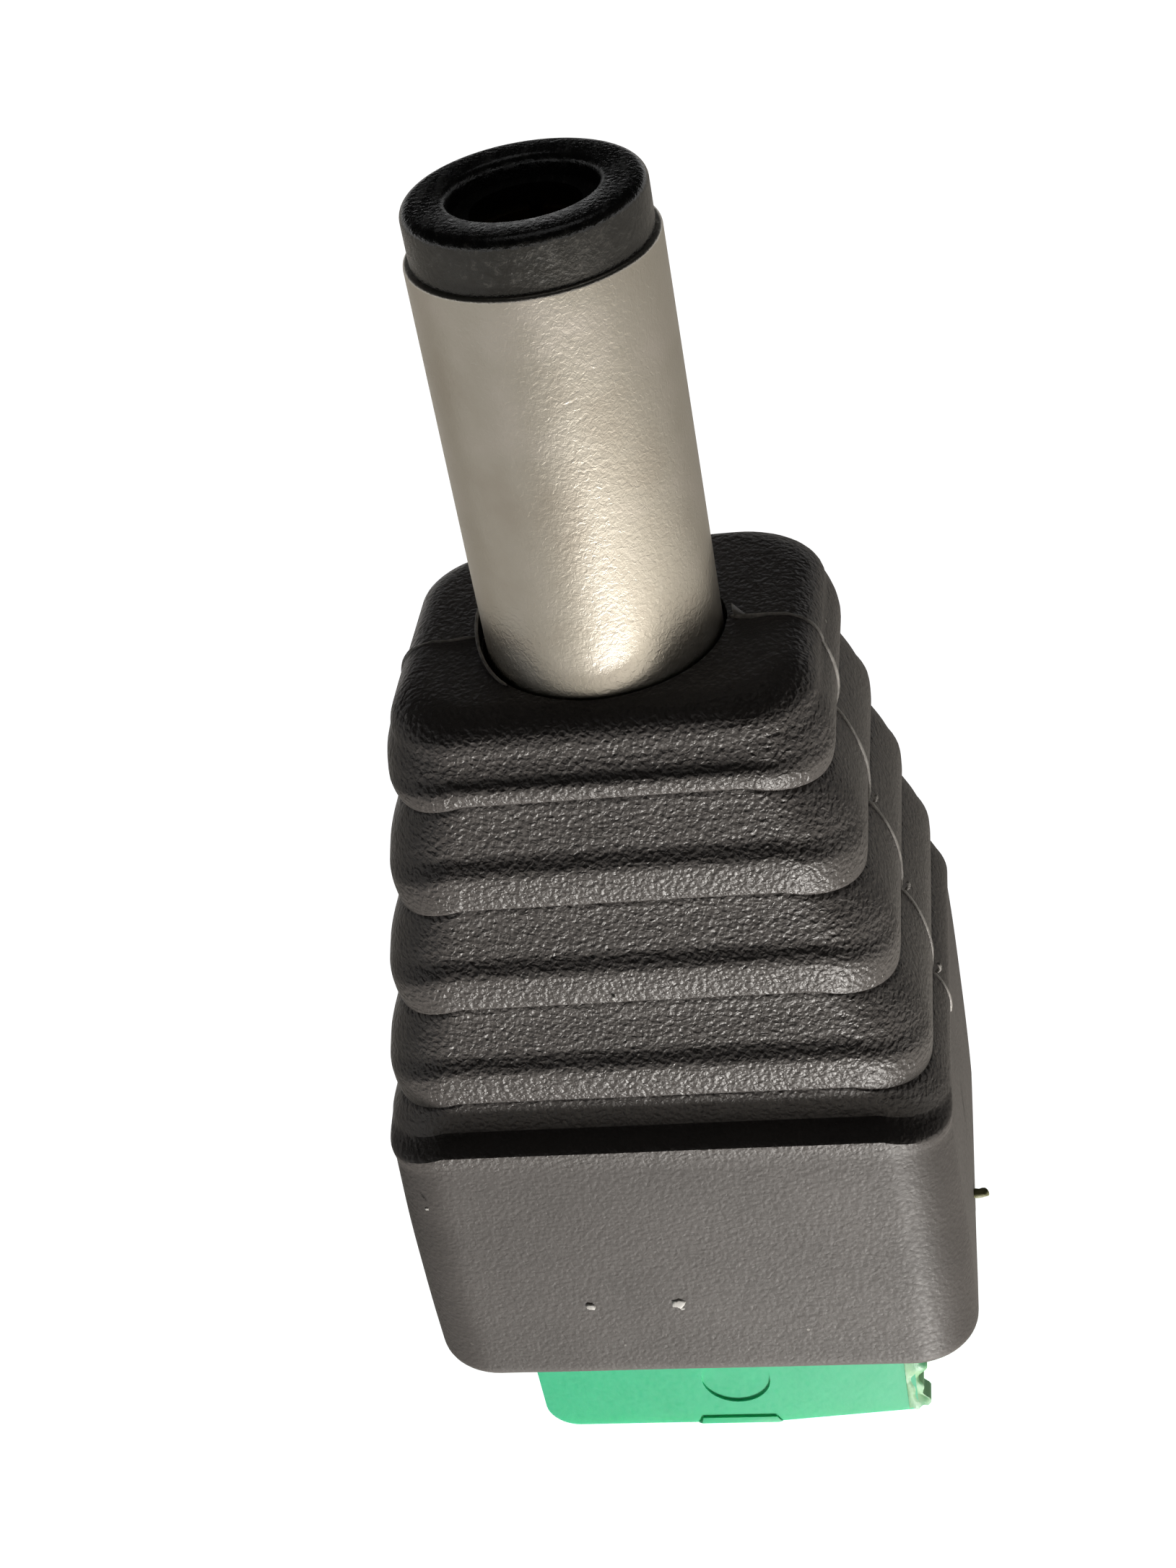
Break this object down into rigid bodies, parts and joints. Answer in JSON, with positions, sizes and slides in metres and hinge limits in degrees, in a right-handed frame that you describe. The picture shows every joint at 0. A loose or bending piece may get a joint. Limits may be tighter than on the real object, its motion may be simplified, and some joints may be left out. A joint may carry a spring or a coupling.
{
  "type": "DC barrel plug with screw terminal",
  "caption": "Straight male DC barrel plug in a ribbed black housing, with a green screw terminal for bare wires at its end.",
  "frame": {"origin": "on the barrel's axis, at the wire end face of the terminal block", "axes": "+Z along the barrel towards its tip, +X across the two clamps, -Y the plain face, +Y the face with the two screws"},
  "size_m": [0.0148, 0.0125, 0.034],
  "materials": {
    "black_plastic": "spark eroded grain, satin",
    "tip_plastic": "smooth moulded, slightly scratched",
    "nickel": "satin nickel plate",
    "brass_plate": "turned",
    "tin": "dull tin plate",
    "solder": "soft solder, rippled",
    "zinc": "zinc plated",
    "green_plastic": "moulded polyamide, satin gloss",
    "ivory_plastic": "moulded"
  },
  "bodies": {
    "plug": {"front_shell": "black_plastic", "rear_shell": "black_plastic", "barrel_sleeve": "nickel", "tip_insulator": "tip_plastic", "centre_contact": "brass_plate", "base_insulator": "ivory_plastic", "rear_washer": "ivory_plastic", "sleeve_lug": "tin", "centre_lug": "tin", "link_left": "tin", "link_right": "tin", "lug_bead_left": "solder", "lug_bead_right": "solder", "pin_bead_left": "solder", "pin_bead_right": "solder", "terminal_block": "green_plastic", "contact_bar_left": "tin", "contact_bar_right": "tin"},
    "cage_left": {"clamp_cage_left": "zinc"},
    "cage_right": {"clamp_cage_right": "zinc"},
    "screw_left": {"clamp_screw_left": "zinc"},
    "screw_right": {"clamp_screw_right": "zinc"}
  },
  "joints": [
    {"name": "screw_left_turn", "type": "hinge", "parent": "plug", "child": "screw_left", "pos_m": [-0.00224, 0.0044, 0.0066], "axis": [0, -1, 0], "range_deg": [0, 1760]},
    {"name": "cage_left_lift", "type": "slide", "parent": "plug", "child": "cage_left", "axis": [0, 1, 0], "range_m": [0, 0.0022]},
    {"name": "screw_right_turn", "type": "hinge", "parent": "plug", "child": "screw_right", "pos_m": [0.00284, 0.0044, 0.0066], "axis": [0, -1, 0], "range_deg": [0, 1760]},
    {"name": "cage_right_lift", "type": "slide", "parent": "plug", "child": "cage_right", "axis": [0, 1, 0], "range_m": [0, 0.0022]}
  ],
  "couplings": [
    {"joint": "screw_left_turn", "follows": "cage_left_lift", "rad_per_m": 13963},
    {"joint": "screw_right_turn", "follows": "cage_right_lift", "rad_per_m": 13963}
  ]
}
